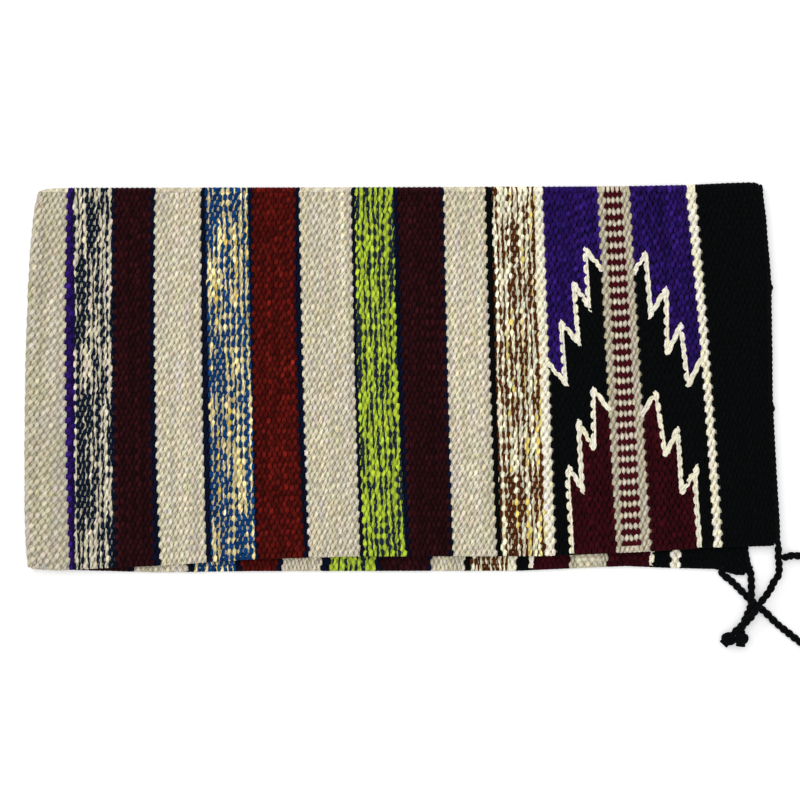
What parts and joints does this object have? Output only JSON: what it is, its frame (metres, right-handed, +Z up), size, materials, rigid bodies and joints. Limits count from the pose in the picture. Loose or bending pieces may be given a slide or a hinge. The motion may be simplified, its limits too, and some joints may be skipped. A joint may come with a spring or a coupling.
{
  "type": "saddle blanket",
  "caption": "Hand-woven wool show saddle blanket, folded once, with vertical colour bands, a stepped motif and twined corner ties.",
  "frame": {"origin": "middle of the folded blanket's underside, on the surface it lies on, without its loose tie cords", "axes": "+Z up, +X along the fold towards the black end with the ties, +Y from the free edges towards the fold"},
  "size_m": [1.0237, 0.5755, 0.0189],
  "materials": {
    "beige_wool": "matt wool",
    "black_wool": "matt wool",
    "blue_cream_marl_wool": "matt wool",
    "brown_cream_marl_wool": "matt wool",
    "burgundy_wool": "matt wool",
    "cream_wool": "matt wool",
    "lime_navy_marl_wool": "matt wool",
    "maroon_cream_checker_wool": "matt wool",
    "maroon_wool": "matt wool",
    "natural_wool": "matt wool",
    "navy_cream_marl_wool": "matt wool",
    "navy_wool": "matt wool",
    "purple_wool": "matt wool",
    "rust_wool": "matt wool",
    "twined_black_wool": "matt wool"
  },
  "bodies": {
    "back_layer": {"back_black_end_band": "black_wool", "back_blue_cream_marl_band": "blue_cream_marl_wool", "back_brown_cream_marl_band": "brown_cream_marl_wool", "back_corner_tie_cord": "twined_black_wool", "back_corner_tie_cord_knot": "twined_black_wool", "back_edge_cord": "twined_black_wool", "back_edge_tie_cord": "twined_black_wool", "back_edge_tie_cord_knot": "twined_black_wool", "back_lime_navy_marl_band": "lime_navy_marl_wool", "back_maroon_band_1": "maroon_wool", "back_maroon_band_2": "maroon_wool", "back_natural_band_1": "natural_wool", "back_natural_band_2": "natural_wool", "back_natural_band_3": "natural_wool", "back_natural_end_band": "natural_wool", "back_navy_cream_marl_band": "navy_cream_marl_wool", "back_rust_band": "rust_wool", "back_stepped_motif_field": "burgundy_wool", "fold_roll": "natural_wool"},
    "front_layer": {"front_black_end_band": "black_wool", "front_black_pin_stripe": "black_wool", "front_blue_cream_marl_band": "blue_cream_marl_wool", "front_brown_cream_marl_band": "brown_cream_marl_wool", "front_edge_cord": "twined_black_wool", "front_left_braid_stripe": "beige_wool", "front_left_cream_line": "cream_wool", "front_left_motif_lower_field": "burgundy_wool", "front_left_motif_lower_outline": "cream_wool", "front_left_motif_middle_field": "black_wool", "front_left_motif_upper_field": "purple_wool", "front_left_motif_upper_outline": "cream_wool", "front_lime_navy_marl_band": "lime_navy_marl_wool", "front_maroon_band_1": "maroon_wool", "front_maroon_band_2": "maroon_wool", "front_maroon_cream_checker_stripe": "maroon_cream_checker_wool", "front_natural_band_1": "natural_wool", "front_natural_band_2": "natural_wool", "front_natural_band_3": "natural_wool", "front_natural_end_band": "natural_wool", "front_navy_cream_marl_band": "navy_cream_marl_wool", "front_navy_pin_stripe_1": "navy_wool", "front_navy_pin_stripe_2": "navy_wool", "front_navy_pin_stripe_3": "navy_wool", "front_navy_pin_stripe_4": "navy_wool", "front_navy_pin_stripe_5": "navy_wool", "front_navy_pin_stripe_6": "navy_wool", "front_purple_pin_stripe": "purple_wool", "front_right_braid_stripe": "beige_wool", "front_right_cream_line": "cream_wool", "front_right_motif_lower_field": "burgundy_wool", "front_right_motif_lower_outline": "cream_wool", "front_right_motif_middle_field": "black_wool", "front_right_motif_upper_field": "purple_wool", "front_right_motif_upper_outline": "cream_wool", "front_rust_band": "rust_wool", "front_side_tie_cord": "twined_black_wool", "front_side_tie_cord_knot": "twined_black_wool", "front_tie_cord": "twined_black_wool", "front_tie_cord_knot": "twined_black_wool"}
  },
  "joints": [
    {"name": "fold_hinge", "type": "hinge", "parent": "back_layer", "child": "front_layer", "pos_m": [0, 0.22357, 0.00665], "axis": [-1, 0, 0], "range_deg": [0, 180], "deforming": ["fold_roll"]}
  ]
}
